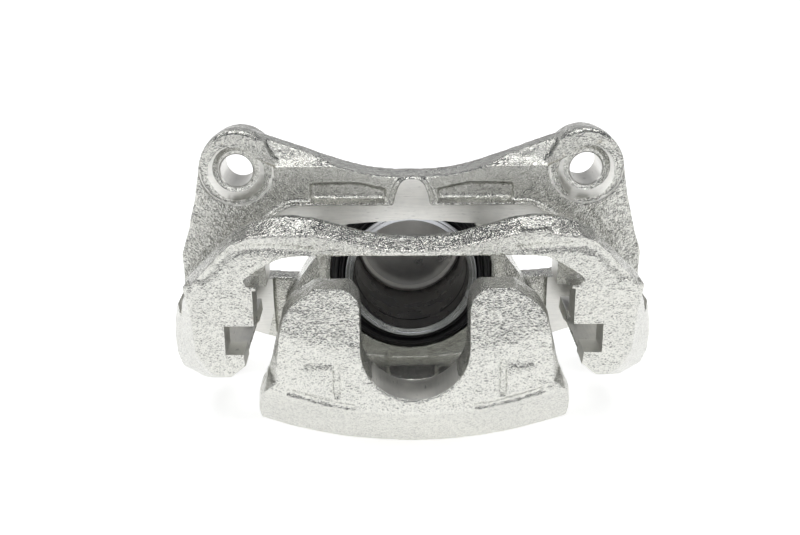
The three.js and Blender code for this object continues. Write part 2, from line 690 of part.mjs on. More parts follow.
const slidingBody = new THREE.Group();
caliper.add(slidingBody);
addMesh('caliper_housing', housingSolid(), ZINC_CASTING, slidingBody);
addMesh('piston', pistonSolid(), MACHINED_STEEL, slidingBody);
addMesh('piston_seal', pistonSealSolid(), BLACK_RUBBER, slidingBody);
addMesh('piston_dust_boot', pistonDustBootSolid(), BLACK_RUBBER, slidingBody);
for (const [label, side] of [['left', -1], ['right', 1]]) {
  addMesh(`guide_pin_${label}`, guidePinSolid(side), PLATED_STEEL, slidingBody);
  addMesh(`guide_pin_boot_${label}`, guidePinBootSolid(side), BLACK_RUBBER, slidingBody);
  addMesh(`guide_pin_bolt_${label}`, guidePinBoltSolid(side), PLATED_STEEL, slidingBody);
}
addMesh('guide_pin_bushing', guidePinBushingSolid(), RED_RUBBER, slidingBody);
addMesh('bleeder_screw', bleederScrewSolid(), PLATED_STEEL, slidingBody);
addMesh('bleeder_cap', bleederCapSolid(), BLACK_RUBBER, slidingBody);
addMesh('inlet_plug', inletPlugSolid(), RED_PLASTIC, slidingBody);

// Origin at the middle of the underside: the bridge is the lowest part, and the fingers' pads and
// the inlet plug are the two ends.
const frontEnd = FINGER.outer - FINGER.padProud;
caliper.position.set(0, -(frontEnd + INLET.plugEnd) / 2, BRIDGE.outer - DISC.axleZ);

export default caliper;
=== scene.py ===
import json
import math

import bmesh
import bpy
import numpy as np
from mathutils import Matrix, Vector, noise


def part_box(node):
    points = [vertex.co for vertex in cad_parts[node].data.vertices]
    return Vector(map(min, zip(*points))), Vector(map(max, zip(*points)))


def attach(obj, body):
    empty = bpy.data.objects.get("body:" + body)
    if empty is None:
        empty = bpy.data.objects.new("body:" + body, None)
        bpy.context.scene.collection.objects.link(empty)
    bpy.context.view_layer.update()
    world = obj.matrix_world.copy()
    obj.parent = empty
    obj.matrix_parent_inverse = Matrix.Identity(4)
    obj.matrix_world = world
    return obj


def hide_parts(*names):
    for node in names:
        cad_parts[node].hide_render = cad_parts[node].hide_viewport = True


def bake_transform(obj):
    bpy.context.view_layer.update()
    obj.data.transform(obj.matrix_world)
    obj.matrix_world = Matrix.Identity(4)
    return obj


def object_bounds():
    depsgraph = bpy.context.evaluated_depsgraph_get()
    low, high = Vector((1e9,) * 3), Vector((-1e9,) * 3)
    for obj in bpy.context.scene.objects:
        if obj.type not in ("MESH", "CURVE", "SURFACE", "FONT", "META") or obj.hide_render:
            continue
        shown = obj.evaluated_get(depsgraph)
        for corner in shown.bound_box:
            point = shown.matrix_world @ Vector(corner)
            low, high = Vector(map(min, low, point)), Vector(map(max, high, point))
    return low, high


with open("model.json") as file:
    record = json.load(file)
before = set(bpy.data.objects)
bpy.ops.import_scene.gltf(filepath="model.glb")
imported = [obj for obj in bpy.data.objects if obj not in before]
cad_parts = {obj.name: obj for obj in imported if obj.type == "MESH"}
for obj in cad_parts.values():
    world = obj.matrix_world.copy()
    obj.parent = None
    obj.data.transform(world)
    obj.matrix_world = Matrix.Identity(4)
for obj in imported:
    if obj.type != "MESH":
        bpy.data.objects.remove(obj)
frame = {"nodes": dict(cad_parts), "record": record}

CAD_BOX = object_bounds()

# ------------------------------------------------------------------ places and sizes
# Every length below is in millimetres from the centre of the piston's open end, as X across, Y inboard
# and Z up. mm() turns such a place into the frame's own metres.
MM = 0.001
PISTON_LOW, PISTON_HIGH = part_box("piston")
PISTON_FACE = Vector((
    (PISTON_LOW.x + PISTON_HIGH.x) / 2, PISTON_LOW.y, (PISTON_LOW.z + PISTON_HIGH.z) / 2,
))
PISTON_RADIUS = (PISTON_HIGH.x - PISTON_LOW.x) / 2 / MM
PISTON_LENGTH = (PISTON_HIGH.y - PISTON_LOW.y) / MM

# How castings are made: the remesh's cells, two points that count as one, how many times edges are
# relaxed, and the layers of unevenness as (wave length, height).
VOXEL = 0.6
SAME_POINT = 0.004
CAST_PASSES = 2
CAST_LAYERS = ((7, 0.16), (2.6, 0.12))

# Facets around the disc's room, large and small round pieces, and groove cutters.
DISC_TURNS = 400
FINE_TURNS = 192
SMALL_TURNS = 96
GROOVE_TURNS = 24

# The angle in degrees past which an edge looks sharp.
CAST_SHARP = 32
TURNED_SHARP = 40


def mm(x, y, z):
    """A place in metres, from one in millimetres."""
    return PISTON_FACE + Vector((x, y, z)) * MM


def mount(name):
    """A mount's place in millimetres from the piston's open end."""
    found = next(m for m in frame["record"]["mounts"] if m["name"] == name)
    return (Vector(found["pos_m"]) - PISTON_FACE) / MM


def span(node):
    """A node's box in millimetres from the piston's open end."""
    low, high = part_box(node)
    return (low - PISTON_FACE) / MM, (high - PISTON_FACE) / MM


PIN_LOW, PIN_HIGH = span("guide_pin_right")
PIN_X = (PIN_LOW.x + PIN_HIGH.x) / 2
PIN_Z = (PIN_LOW.z + PIN_HIGH.z) / 2


# ------------------------------------------------------------------ meshes
def add_object(name, vertices, faces, material):
    mesh = bpy.data.meshes.new(name)
    mesh.from_pydata([tuple(v) for v in vertices], [], faces)
    mesh.update()
    piece = bpy.data.objects.new(name, mesh)
    bpy.context.scene.collection.objects.link(piece)
    mesh.materials.append(material)
    return piece


def outward(piece):
    """Turns all of a closed piece's faces to point out of it."""
    shape = bmesh.new()
    shape.from_mesh(piece.data)
    bmesh.ops.recalc_face_normals(shape, faces=shape.faces[:])
    shape.to_mesh(piece.data)
    shape.free()
    return piece


def shade(piece, degrees):
    """Smooth shading, except across edges that bend by more than that angle."""
    piece.data.shade_smooth()
    piece.data.set_sharp_from_angle(angle=math.radians(degrees))
    return piece


def prism(outline, front, back, material):
    """A flat outline in X and Z, extruded along Y."""
    count = len(outline)
    vertices = [mm(x, y, z) for y in (front, back) for x, z in outline]
    sides = [(i, (i + 1) % count, (i + 1) % count + count, i + count) for i in range(count)]
    faces = [tuple(range(count)), tuple(range(2 * count - 1, count - 1, -1)), *sides]
    return outward(add_object("tool", vertices, faces, material))


def block(x0, x1, y0, y1, z0, z1, material):
    """A box between two places along each axis."""
    return prism([(x0, z0), (x1, z0), (x1, z1), (x0, z1)], y0, y1, material)


def rounded(profile, radius, steps=5):
    """A profile whose inner corners are replaced with curves that start that far from the corner.

    Where an edge is short, the curve takes less than half of it.
    """
    most = 0.45
    made = [profile[0]]
    for before, corner, after in zip(profile, profile[1:], profile[2:]):
        here = Vector(corner)
        to_before = Vector(before) - here
        to_after = Vector(after) - here
        reach = min(radius, to_before.length * most, to_after.length * most)
        start = here + to_before.normalized() * reach
        end = here + to_after.normalized() * reach
        for i in range(steps + 1):
            t = i / steps
            made.append(tuple(start * (1 - t) ** 2 + here * 2 * t * (1 - t) + end * t * t))
    made.append(profile[-1])
    return made


def rounded_ring(profile, radius):
    """The same for a profile that closes on itself."""
    middle = tuple((Vector(profile[0]) + Vector(profile[-1])) / 2)
    return rounded([middle, *profile, middle], radius)[:-1]


def spun(name, profile, material, centre=(0, 0, 0), tilt=None, turns=SMALL_TURNS, flats=None):
    """A solid of revolution about an axis along Y, or one tilted up from +X.

    The profile is (radius, distance along the axis) from one end of the axis to the other, or a closed
    ring where it stays off the axis. flats = (across flats, from, to) makes that stretch a hexagon.
    """
    closed = min(r for r, _ in profile) > 0
    along = Vector((0, 1, 0)) if tilt is None else Vector((math.cos(tilt), 0, math.sin(tilt)))
    across = Vector((1, 0, 0)) if tilt is None else Vector((-math.sin(tilt), 0, math.cos(tilt)))
    third = along.cross(across)
    vertices = []
    rings = []
    for radius, place in profile:
        if radius <= 0:
            rings.append([len(vertices)] * turns)
            vertices.append(mm(*(Vector(centre) + along * place)))
            continue
        ring = []
        for i in range(turns):
            angle = 2 * math.pi * i / turns
            reach = radius
            if flats and flats[1] <= place <= flats[2]:
                to_flat = (angle + math.pi / 6) % (math.pi / 3) - math.pi / 6
                reach = min(radius, flats[0] / 2 / math.cos(to_flat))
            spoke = across * math.cos(angle) + third * math.sin(angle)
            ring.append(len(vertices))
            vertices.append(mm(*(Vector(centre) + along * place + spoke * reach)))
        rings.append(ring)
    if closed:
        rings.append(rings[0])
    faces = []
    for ring, following in zip(rings, rings[1:]):
        for i in range(turns):
            j = (i + 1) % turns
            corners = (ring[i], ring[j], following[j], following[i])
            face = tuple(dict.fromkeys(corners))
            if len(face) > 2:
                faces.append(face)
    return shade(outward(add_object(name, vertices, faces, material)), TURNED_SHARP)


def cylinder(x, z, radius, front, back, material, turns=SMALL_TURNS):
    """A round bar along Y."""
    profile = [(0, front), (radius, front), (radius, back), (0, back)]
    return spun("tool", profile, material, (x, 0, z), turns=turns)


def sided(outline, side):
    """An outline drawn for the right side, mirrored where side is -1."""
    return [(side * x, z) for x, z in outline]


# ------------------------------------------------------------------ castings
def evaluated(piece):
    """Applies a piece's modifiers."""
    graph = bpy.context.evaluated_depsgraph_get()
    mesh = bpy.data.meshes.new_from_object(piece.evaluated_get(graph))
    piece.modifiers.clear()
    piece.data = mesh
    return piece


def combined(piece, tools, operation):
    """Joins tools to a piece, or cuts them from it. A cut face takes its tool's material."""
    for tool in tools:
        change = piece.modifiers.new("change", "BOOLEAN")
        change.operation = operation
        change.solver = "MANIFOLD"
        change.material_mode = "TRANSFER"
        change.object = tool
    evaluated(piece)
    for tool in tools:
        bpy.data.objects.remove(tool)
    return piece


def relaxed(mesh, passes):
    """Rounds a dense mesh's edges off without shrinking its broad faces.

    Each pass draws every point towards the middle of its neighbours, and then part of the way back.
    """
    draw, give_back = 0.6, -0.32
    count = len(mesh.vertices)
    places = np.empty(count * 3)
    mesh.vertices.foreach_get("co", places)
    places = places.reshape(-1, 3)
    edges = np.empty(len(mesh.edges) * 2, dtype=np.int64)
    mesh.edges.foreach_get("vertices", edges)
    starts, ends = edges.reshape(-1, 2).T
    here = np.concatenate((starts, ends))
    there = np.concatenate((ends, starts))
    neighbours = np.maximum(np.bincount(here, minlength=count), 1)
    for step in range(2 * passes):
        strength = draw if step % 2 == 0 else give_back
        middle = np.stack(
            [np.bincount(here, places[there, axis], count) / neighbours for axis in range(3)], axis=1,
        )
        places += strength * (middle - places)
    mesh.vertices.foreach_set("co", places.ravel())
    mesh.update()


def roughened(mesh, layers):
    """Moves a dense mesh's points in by smooth noise: each layer is (wave length, height)."""
    inward = 0.6
    offset = Vector((7.3, 1.9, 4.1))
    places = [vertex.co.copy() for vertex in mesh.vertices]
    normals = [vertex.normal.copy() for vertex in mesh.vertices]
    moved = []
    for place, normal in zip(places, normals):
        height = sum(
            (noise.noise(place / (wave * MM) + offset * wave) - inward) * depth * MM
            for wave, depth in layers
        )
        moved.extend(place + normal * height)
    mesh.vertices.foreach_set("co", moved)
    mesh.update()


def kept_inside(mesh, node):
    """Brings a mesh's points back into a node's box."""
    low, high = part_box(node)
    for vertex in mesh.vertices:
        vertex.co = [min(max(vertex.co[i], low[i]), high[i]) for i in range(3)]
    mesh.update()


def casting(name, node, material, stock, carved, tools):
    """A node's shape with rounded cast edges, machined afterwards with crisp ones."""
    mesh = frame["nodes"][node].data.copy()
    mesh.materials.clear()
    mesh.materials.append(material)
    piece = bpy.data.objects.new(name, mesh)
    bpy.context.scene.collection.objects.link(piece)
    shape = bmesh.new()
    shape.from_mesh(mesh)
    bmesh.ops.remove_doubles(shape, verts=shape.verts[:], dist=SAME_POINT * MM)
    shape.to_mesh(mesh)
    shape.free()
    for face in mesh.polygons:
        face.material_index = 0
    combined(piece, stock, "UNION")
    combined(piece, carved, "DIFFERENCE")
    remesh = piece.modifiers.new("remesh", "REMESH")
    remesh.mode = "VOXEL"
    remesh.voxel_size = VOXEL * MM
    evaluated(piece)
    piece.data.materials.clear()
    piece.data.materials.append(material)
    relaxed(piece.data, CAST_PASSES)
    roughened(piece.data, CAST_LAYERS)
    kept_inside(piece.data, node)
    combined(piece, tools, "DIFFERENCE")
    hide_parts(node)
    return shade(piece, CAST_SHARP)


# ------------------------------------------------------------------ materials
def node(tree, kind, inputs=None, **settings):
    """A shader node. Inputs are constants, or sockets to link from."""
    made = tree.nodes.new(kind)
    for key, value in settings.items():
        setattr(made, key, value)
    for key, value in (inputs or {}).items():
        if isinstance(value, bpy.types.NodeSocket):
            tree.links.new(value, made.inputs[key])
        else:
            made.inputs[key].default_value = value
    return made


def new_material(name):
    material = bpy.data.materials.new(name)
    material.use_nodes = True
    tree = material.node_tree
    shader = next(n for n in tree.nodes if n.type == "BSDF_PRINCIPLED")
    places = tree.nodes.new("ShaderNodeTexCoord").outputs["Object"]
    return material, tree, shader, places


def noise_of(tree, places, scale, detail=2.0, roughness=0.5, stretch=None):
    """Noise from 0 to 1. stretch gives each axis a scale of its own."""
    if stretch:
        places = node(tree, "ShaderNodeMapping", {"Vector": places, "Scale": stretch}).outputs["Vector"]
    return node(
        tree, "ShaderNodeTexNoise",
        {"Vector": places, "Scale": scale, "Detail": detail, "Roughness": roughness},
    ).outputs["Fac"]


def remapped(tree, value, low, high, to_low=0.0, to_high=1.0):
    """A value from one range turned smoothly into another."""
    return node(
        tree, "ShaderNodeMapRange",
        {"Value": value, "From Min": low, "From Max": high, "To Min": to_low, "To Max": to_high},
        interpolation_type="SMOOTHSTEP",
    ).outputs["Result"]


def maths(tree, operation, a, b):
    return node(tree, "ShaderNodeMath", {0: a, 1: b}, operation=operation).outputs[0]


def mixed(tree, factor, a, b):
    """Two colours mixed: from a where the factor is 0, to b where it is 1."""
    return node(tree, "ShaderNodeMix", {"Factor": factor, 6: a, 7: b}, data_type="RGBA").outputs[2]


def bumped(tree, shader, height, depth, strength):
    bump = node(tree, "ShaderNodeBump", {"Height": height, "Distance": depth * MM, "Strength": strength})
    tree.links.new(bump.outputs["Normal"], shader.inputs["Normal"])


def crystalline(tree, shader, places, height, depth, cell_scale, lean):
    """A bump with crystals on top of it: small cells whose faces lean at random."""
    bump = node(tree, "ShaderNodeBump", {"Height": height, "Distance": depth * MM})
    cells = node(tree, "ShaderNodeTexVoronoi", {"Vector": places, "Scale": cell_scale}).outputs["Color"]
    centred = node(
        tree, "ShaderNodeVectorMath", {0: cells, 1: (0.5, 0.5, 0.5)}, operation="SUBTRACT",
    ).outputs[0]
    leaning = node(
        tree, "ShaderNodeVectorMath", {0: centred, "Scale": lean}, operation="SCALE",
    ).outputs[0]
    added = node(tree, "ShaderNodeVectorMath", {0: bump.outputs[0], 1: leaning}, operation="ADD")
    normal = node(tree, "ShaderNodeVectorMath", {0: added.outputs[0]}, operation="NORMALIZE")
    tree.links.new(normal.outputs[0], shader.inputs["Normal"])


def link(tree, shader, **sockets):
    """Links outputs to the shader's inputs, whose names have _ for a space."""
    for name, value in sockets.items():
        tree.links.new(value, shader.inputs[name.replace("_", " ")])


def cast_zinc():
    """Bright zinc over a sand-cast skin: grain, crystals, a yellow-dark painted shade in the hollows, brown
    on the edges.
    """
    material, tree, shader, places = new_material("cast_zinc")
    grain = noise_of(tree, places, 1500, 2.0, 0.55)
    lumps = noise_of(tree, places, 330, 2.0, 0.5)
    cloud = noise_of(tree, places, 45, 3.0, 0.6)
    curve = tree.nodes.new("ShaderNodeNewGeometry").outputs["Pointiness"]
    # Painted shade: a yellow-dark tint laid into the hollows and creases, where shade falls.
    painted_hollow_shade = remapped(tree, curve, 0.47, 0.42)
    edge = remapped(tree, curve, 0.54, 0.62)
    pale = mixed(tree, remapped(tree, grain, 0.3, 0.5), (0.42, 0.42, 0.4, 1), (0.65, 0.65, 0.612, 1))
    clouded = mixed(tree, remapped(tree, cloud, 0.35, 0.7, 0.0, 0.3), pale, (0.72, 0.715, 0.665, 1))
    hollow_shaded = mixed(tree, maths(tree, "MULTIPLY", painted_hollow_shade, 0.45), clouded, (0.55, 0.51, 0.38, 1))
    stain = maths(tree, "MULTIPLY", remapped(tree, noise_of(tree, places, 60, 4, 0.6), 0.6, 0.72), edge)
    worn = mixed(tree, maths(tree, "MULTIPLY", stain, 0.5), hollow_shaded, (0.42, 0.3, 0.2, 1))
    height = maths(tree, "ADD", grain, maths(tree, "MULTIPLY", lumps, 0.7))
    crystalline(tree, shader, places, height, 0.32, 1200, 0.27)
    link(tree, shader, Base_Color=worn, Roughness=remapped(tree, lumps, 0.3, 0.7, 0.16, 0.26))
    shader.inputs["Metallic"].default_value = 0.94
    return material


def machined_zinc(name, roughness):
    """Milled and broached faces: smooth, with fine streaks along the cut."""
    material, tree, shader, places = new_material(name)
    streaks = noise_of(tree, places, 1.0, 3.0, 0.6, stretch=(110, 70, 1900))
    marks = noise_of(tree, places, 1.0, 2.0, 0.5, stretch=(260, 120, 2600))
    cloud = noise_of(tree, places, 70, 3.0, 0.6)
    scored = remapped(tree, marks, 0.66, 0.74)
    base = mixed(tree, remapped(tree, cloud, 0.35, 0.65), (0.7, 0.695, 0.665, 1), (0.82, 0.81, 0.77, 1))
    lined = mixed(tree, remapped(tree, streaks, 0.35, 0.7, 0.0, 0.22), base, (0.5, 0.5, 0.49, 1))
    marked = mixed(tree, maths(tree, "MULTIPLY", scored, 0.5), lined, (0.22, 0.22, 0.22, 1))
    bumped(tree, shader, streaks, 0.02, 0.7)
    link(tree, shader, Base_Color=marked,
         Roughness=remapped(tree, cloud, 0.3, 0.7, roughness, roughness + 0.1))
    shader.inputs["Metallic"].default_value = 1.0
    return material


def turned_steel(name, pale, dark, roughness):
    """Steel turned about an axis along Y through the piston's centre, with fine rings."""
    material, tree, shader, places = new_material(name)
    moved = node(tree, "ShaderNodeVectorMath", {0: places, 1: PISTON_FACE}, operation="SUBTRACT").outputs[0]
    split = node(tree, "ShaderNodeSeparateXYZ", {0: moved})
    flat = node(tree, "ShaderNodeCombineXYZ", {"X": split.outputs["X"], "Z": split.outputs["Z"]}).outputs[0]
    radius = node(tree, "ShaderNodeVectorMath", {0: flat}, operation="LENGTH").outputs["Value"]
    around = node(tree, "ShaderNodeCombineXYZ", {"X": radius, "Y": split.outputs["Y"]}).outputs[0]
    rings = noise_of(tree, around, 2600, 3.0, 0.6)
    cloud = noise_of(tree, places, 60, 3.0, 0.55)
    tone = mixed(tree, remapped(tree, cloud, 0.3, 0.7), dark, pale)
    lined = mixed(tree, remapped(tree, rings, 0.35, 0.7, 0.0, 0.3), tone, dark)
    bumped(tree, shader, rings, 0.012, 0.6)
    link(tree, shader, Base_Color=lined,
         Roughness=remapped(tree, cloud, 0.3, 0.7, roughness, roughness + 0.1))
    shader.inputs["Metallic"].default_value = 1.0
    return material


def plated_steel():
    """Zinc-plated steel, clouded, with a fine grain."""
    material, tree, shader, places = new_material("plated_steel")
    fine = noise_of(tree, places, 900, 2.0, 0.6)
    cloud = noise_of(tree, places, 120, 3.0, 0.6)
    tone = mixed(tree, remapped(tree, cloud, 0.3, 0.7), (0.55, 0.54, 0.48, 1), (0.66, 0.66, 0.62, 1))
    bumped(tree, shader, fine, 0.03, 0.5)
    link(tree, shader, Base_Color=tone, Roughness=remapped(tree, fine, 0.3, 0.7, 0.26, 0.38))
    shader.inputs["Metallic"].default_value = 1.0
    return material


def moulded(name, colour, lighter, roughness):
    """Rubber or plastic with a fine skin and a trace of dust."""
    material, tree, shader, places = new_material(name)
    fine = noise_of(tree, places, 1600, 2.0, 0.6)
    dust = noise_of(tree, places, 140, 4.0, 0.65)
    tone = mixed(tree, remapped(tree, dust, 0.45, 0.8, 0.0, 0.5), colour, lighter)
    bumped(tree, shader, fine, 0.02, 0.6)
    link(tree, shader, Base_Color=tone,
         Roughness=remapped(tree, dust, 0.3, 0.7, roughness, roughness + 0.14))
    return material


CAST = cast_zinc()
MACHINED = machined_zinc("machined_zinc", 0.3)
BORED = machined_zinc("bored_zinc", 0.5)
PISTON_OUTSIDE = turned_steel("ground_steel", (0.62, 0.63, 0.65, 1), (0.46, 0.47, 0.49, 1), 0.2)
# Painted shade: the piston's inner wall is drawn steel, given a darker colour for the shade inside the cup.
PISTON_INSIDE_SHADED = turned_steel("drawn_steel_painted_shade", (0.34, 0.33, 0.325, 1), (0.22, 0.215, 0.215, 1), 0.22)
PISTON_END = turned_steel("pressed_steel", (0.66, 0.65, 0.64, 1), (0.5, 0.49, 0.48, 1), 0.26)
# Painted highlight: the inner fillet's near-white colour stands in for light caught on it.
PISTON_FILLET_HIGHLIGHT = turned_steel("painted_highlight_steel", (0.95, 0.93, 0.9, 1), (0.8, 0.78, 0.76, 1), 0.3)
PLATED = plated_steel()
BLACK_RUBBER = moulded("black_rubber", (0.011, 0.011, 0.012, 1), (0.03, 0.03, 0.031, 1), 0.36)
RED_RUBBER = moulded("red_rubber", (0.2, 0.03, 0.02, 1), (0.26, 0.06, 0.045, 1), 0.45)
RED_PLASTIC = moulded("red_plastic", (0.45, 0.035, 0.025, 1), (0.52, 0.07, 0.05, 1), 0.32)


# ------------------------------------------------------------------ the bracket
THROUGH = 4  # how far a cutting tool runs past the casting

# The two pad frames along Y, and the strip milled across the inner one.
FRAME_FRONT, FRAME_BACK, ARM_BACK = -58, -45, 2
STRIP_Y, STRIP_X, STRIP_ALLOWANCE = -16, 61.4, 1.4

# The pads' block, the notch in it, and the lip below.
BLOCK_X = mount("outer_pad_block_right").x
SLOT_TOP, SLOT_BOTTOM, LIP_BOTTOM = 1, -11, -16.4
SLOT_WALL, LIP_X = 73, 66
BLOCK_TOP = 15.4

# The room turned out for the disc, about the wheel's axle.
AXLE_Z = 122
DISC_RADIUS, DISC_FRONT, DISC_ROOM = 152.3, -44.7, 28.7

# The ears, with a spot face, a recess and a hole in each.
EAR = mount("ear_face_right")
EAR_X = EAR.x
EAR_Z = EAR.z - 10.2
EAR_BACK = EAR.y
SPOT_FACE_Y, SPOT_RADIUS = -12.6, 15.3
RECESS_RADIUS, RECESS_FLOOR_RADIUS, RECESS_DEPTH = 9.6, 7.6, 1.3
HOLE_Z = EAR_Z - 0.9
HOLE_RADIUS = 6.7

PIN_BORE_RADIUS, PIN_BORE_END = 5.8, -42


def crease(line, y, radius, proud):
    """Cutters for a shallow round groove along a line of points on a front face."""
    overlap = 0.6
    tools = []
    for (x0, z0), (x1, z1) in zip(line, line[1:]):
        length = math.hypot(x1 - x0, z1 - z0) + overlap
        profile = [(0, -overlap), (radius, -overlap), (radius, length), (0, length)]
        tilt = math.atan2(z1 - z0, x1 - x0)
        tools.append(spun("tool", profile, CAST, (x0, y - proud, z0), tilt, turns=GROOVE_TURNS))
    return tools


def bracket():
    """The bracket: holes drilled, disc room turned, spot faces and strip milled, slots broached.

    Where a face is machined, the casting starts with some stock on it for the tool to take off.
    """
    allowance = 1.6
    rear_fill_front = -14.6
    fill_radius = 11
    notch_fill = [
        (BLOCK_X - allowance, 17), (SLOT_WALL + 1, 17), (SLOT_WALL + 1, SLOT_BOTTOM - 1),
        (LIP_X - allowance, LIP_BOTTOM + 0.6), (BLOCK_X - allowance, LIP_BOTTOM + 0.6),
    ]
    strip_fill = [
        (0, 47.8), (2.8, 47.5), (4.6, 46.2), (5.7, 44.2), (6.8, 41), (7.8, 36.7), (48.6, 36.7),
        (52, 35.3), (57.8, 31.7), (60, 26), (0, 30.6),
    ]
    stock = []
    for side in (-1, 1):
        stock += [
            prism(sided(notch_fill, side), FRAME_FRONT, FRAME_BACK, CAST),
            prism(sided(notch_fill, side), rear_fill_front, ARM_BACK, CAST),
            prism(sided(strip_fill, side), STRIP_Y - STRIP_ALLOWANCE, STRIP_Y + 2, CAST),
            cylinder(
                side * EAR_X, EAR_Z - 1.6, fill_radius, SPOT_FACE_Y - 0.6, EAR_BACK - 0.1, CAST,
            ),
        ]
    gate = [(40.6, 34), (50.6, 33.4), (50.6, 39.2), (40.6, 38.6)]
    stock.append(prism(gate, FRAME_FRONT + 0.2, FRAME_FRONT + 8, CAST))
    broach = [
        (BLOCK_X - 14, SLOT_TOP), (SLOT_WALL, SLOT_TOP), (SLOT_WALL, SLOT_BOTTOM), (LIP_X, SLOT_BOTTOM),
        (LIP_X - 0.8, LIP_BOTTOM - THROUGH), (BLOCK_X - 14, LIP_BOTTOM - THROUGH),
    ]
    disc_room = [(0, 0), (DISC_RADIUS, 0), (DISC_RADIUS, DISC_ROOM), (0, DISC_ROOM)]
    tool_front, tool_back = -30, 20
    spot_tool_front = -28
    strip_bottom, strip_top = 20, 60
    tools = [
        spun("tool", disc_room, MACHINED, (0, DISC_FRONT, AXLE_Z), turns=DISC_TURNS),
        block(-STRIP_X, STRIP_X, tool_front, STRIP_Y, strip_bottom, strip_top, MACHINED),
    ]
    recess_floor = SPOT_FACE_Y + RECESS_DEPTH
    hole = [
        (0, tool_front), (HOLE_RADIUS + 0.5, tool_front), (HOLE_RADIUS + 0.5, recess_floor),
        (HOLE_RADIUS, recess_floor + 0.6), (HOLE_RADIUS, EAR_BACK - 0.8), (HOLE_RADIUS + 1, EAR_BACK),
        (HOLE_RADIUS + 1, tool_back), (0, tool_back),
    ]
    recess = [
        (0, spot_tool_front), (RECESS_RADIUS, spot_tool_front), (RECESS_RADIUS, SPOT_FACE_Y),
        (RECESS_FLOOR_RADIUS, recess_floor), (0, recess_floor),
    ]
    step_depth = 0.45
    unmachined = [
        (EAR_X + 5.5, EAR_Z + 10.2), (EAR_X - 9.3, EAR_Z + 3.9), (EAR_X - 16, EAR_Z + 0.6),
        (EAR_X - 17, EAR_Z + 17), (EAR_X + 5.5, EAR_Z + 17),
    ]
    for side in (-1, 1):
        inner, outer = sorted((side * (BLOCK_X - 12), side * BLOCK_X))
        centre = side * EAR_X
        tools += [
            prism(sided(broach, side), FRAME_FRONT - THROUGH, ARM_BACK + THROUGH, MACHINED),
            block(
                inner, outer, FRAME_FRONT - THROUGH, ARM_BACK + THROUGH, SLOT_TOP - 1, BLOCK_TOP,
                MACHINED,
            ),
            cylinder(centre, EAR_Z, SPOT_RADIUS, spot_tool_front, SPOT_FACE_Y, MACHINED),
            prism(sided(unmachined, side), spot_tool_front, SPOT_FACE_Y + step_depth, CAST),
            spun("tool", recess, CAST, (centre, 0, EAR_Z)),
            spun("tool", hole, MACHINED, (centre, 0, HOLE_Z)),
            cylinder(
                side * PIN_X, PIN_Z, PIN_BORE_RADIUS, PIN_BORE_END, ARM_BACK + THROUGH, MACHINED,
            ),
        ]
    groove_radius, groove_proud = 2.8, 1.9
    inside_bevel = [
        (80.4, 19.6), (78.4, 21.5), (73.6, 26.8), (68.4, 31.1), (62.8, 32.5), (46.9, 32.1), (38, 31),
    ]
    carved = []
    for side in (-1, 1):
        carved += crease(sided(inside_bevel, side), FRAME_FRONT, groove_radius, groove_proud)
    piece = casting("bracket_casting", "bracket", CAST, stock, carved, tools)
    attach(piece, "bracket")


# ------------------------------------------------------------------ the housing
FINGER_INNER, FINGER_OUTER = -60, -78
GAP_RADIUS, GAP_CENTRE_Z = 20, -1
LUG_FRONT, LUG_ALLOWANCE = 20.3, 0.45
BOLT_HOLE_RADIUS = 4.3

# The cylinder's bore: the boot's pocket, the bore itself, and the seal's groove.
BOOT_POCKET_RADIUS, BOOT_POCKET_END = 35.3, 8
BORE_RADIUS, BORE_END = PISTON_RADIUS + 0.3, PISTON_LENGTH + 3
SEAL_GROOVE_RADIUS, SEAL_GROOVE_FRONT, SEAL_GROOVE_BACK = 31.8, 11.7, 15.8


def housing():
    """The housing with its bore, finger gap, lug faces and bolt holes machined."""
    bore_fill_radius, gap_fill_reach = 36.4, 16
    stock = [
        cylinder(0, 0, bore_fill_radius, 6, 16, CAST),
        block(-gap_fill_reach, gap_fill_reach, FINGER_OUTER + 1, FINGER_INNER - 1, -26, -13, CAST),
    ]
    lug_face = [(62.7, -4), (99, 0), (99, -40), (67, -40), (62.7, -24)]
    bore = [
        (0, -THROUGH), (BOOT_POCKET_RADIUS, -THROUGH), (BOOT_POCKET_RADIUS, BOOT_POCKET_END),
        (BORE_RADIUS, BOOT_POCKET_END + 0.6), (BORE_RADIUS, SEAL_GROOVE_FRONT),
        (SEAL_GROOVE_RADIUS, SEAL_GROOVE_FRONT), (SEAL_GROOVE_RADIUS, SEAL_GROOVE_BACK),
        (BORE_RADIUS, SEAL_GROOVE_BACK), (BORE_RADIUS, BORE_END - 1), (BORE_RADIUS - 2, BORE_END),
        (0, BORE_END),
    ]
    bolt_tool_front, bolt_tool_back = 10, 60
    tools = [
        spun("tool", bore, MACHINED, turns=FINE_TURNS),
        cylinder(
            0, GAP_CENTRE_Z, GAP_RADIUS, FINGER_OUTER - THROUGH, FINGER_INNER + THROUGH, BORED,
            FINE_TURNS,
        ),
    ]
    for side in (-1, 1):
        tools += [
            cylinder(side * PIN_X, PIN_Z, BOLT_HOLE_RADIUS, bolt_tool_front, bolt_tool_back, MACHINED),
            prism(sided(lug_face, side), LUG_FRONT - 9, LUG_FRONT + LUG_ALLOWANCE, MACHINED),
        ]
    above_base = [(22.5, -24), (31, -22.6), (40, -19.8), (47.5, -17)]
    beside_left_pad = [(-29, -19.5), (-29, -6)]
    beside_right_pad = [(32.5, -19), (32.5, -5)]
    base_groove = {"radius": 1.7, "proud": 0.8}
    pad_groove = {"radius": 1.5, "proud": 0.6}
    carved = [
        *crease(sided(above_base, -1), FINGER_OUTER, **base_groove),
        *crease(above_base, FINGER_OUTER, **base_groove),
        *crease(beside_left_pad, FINGER_OUTER, **pad_groove),
        *crease(beside_right_pad, FINGER_OUTER, **pad_groove),
    ]
    piece = casting("caliper_housing_casting", "caliper_housing", CAST, stock, carved, tools)
    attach(piece, "caliper")


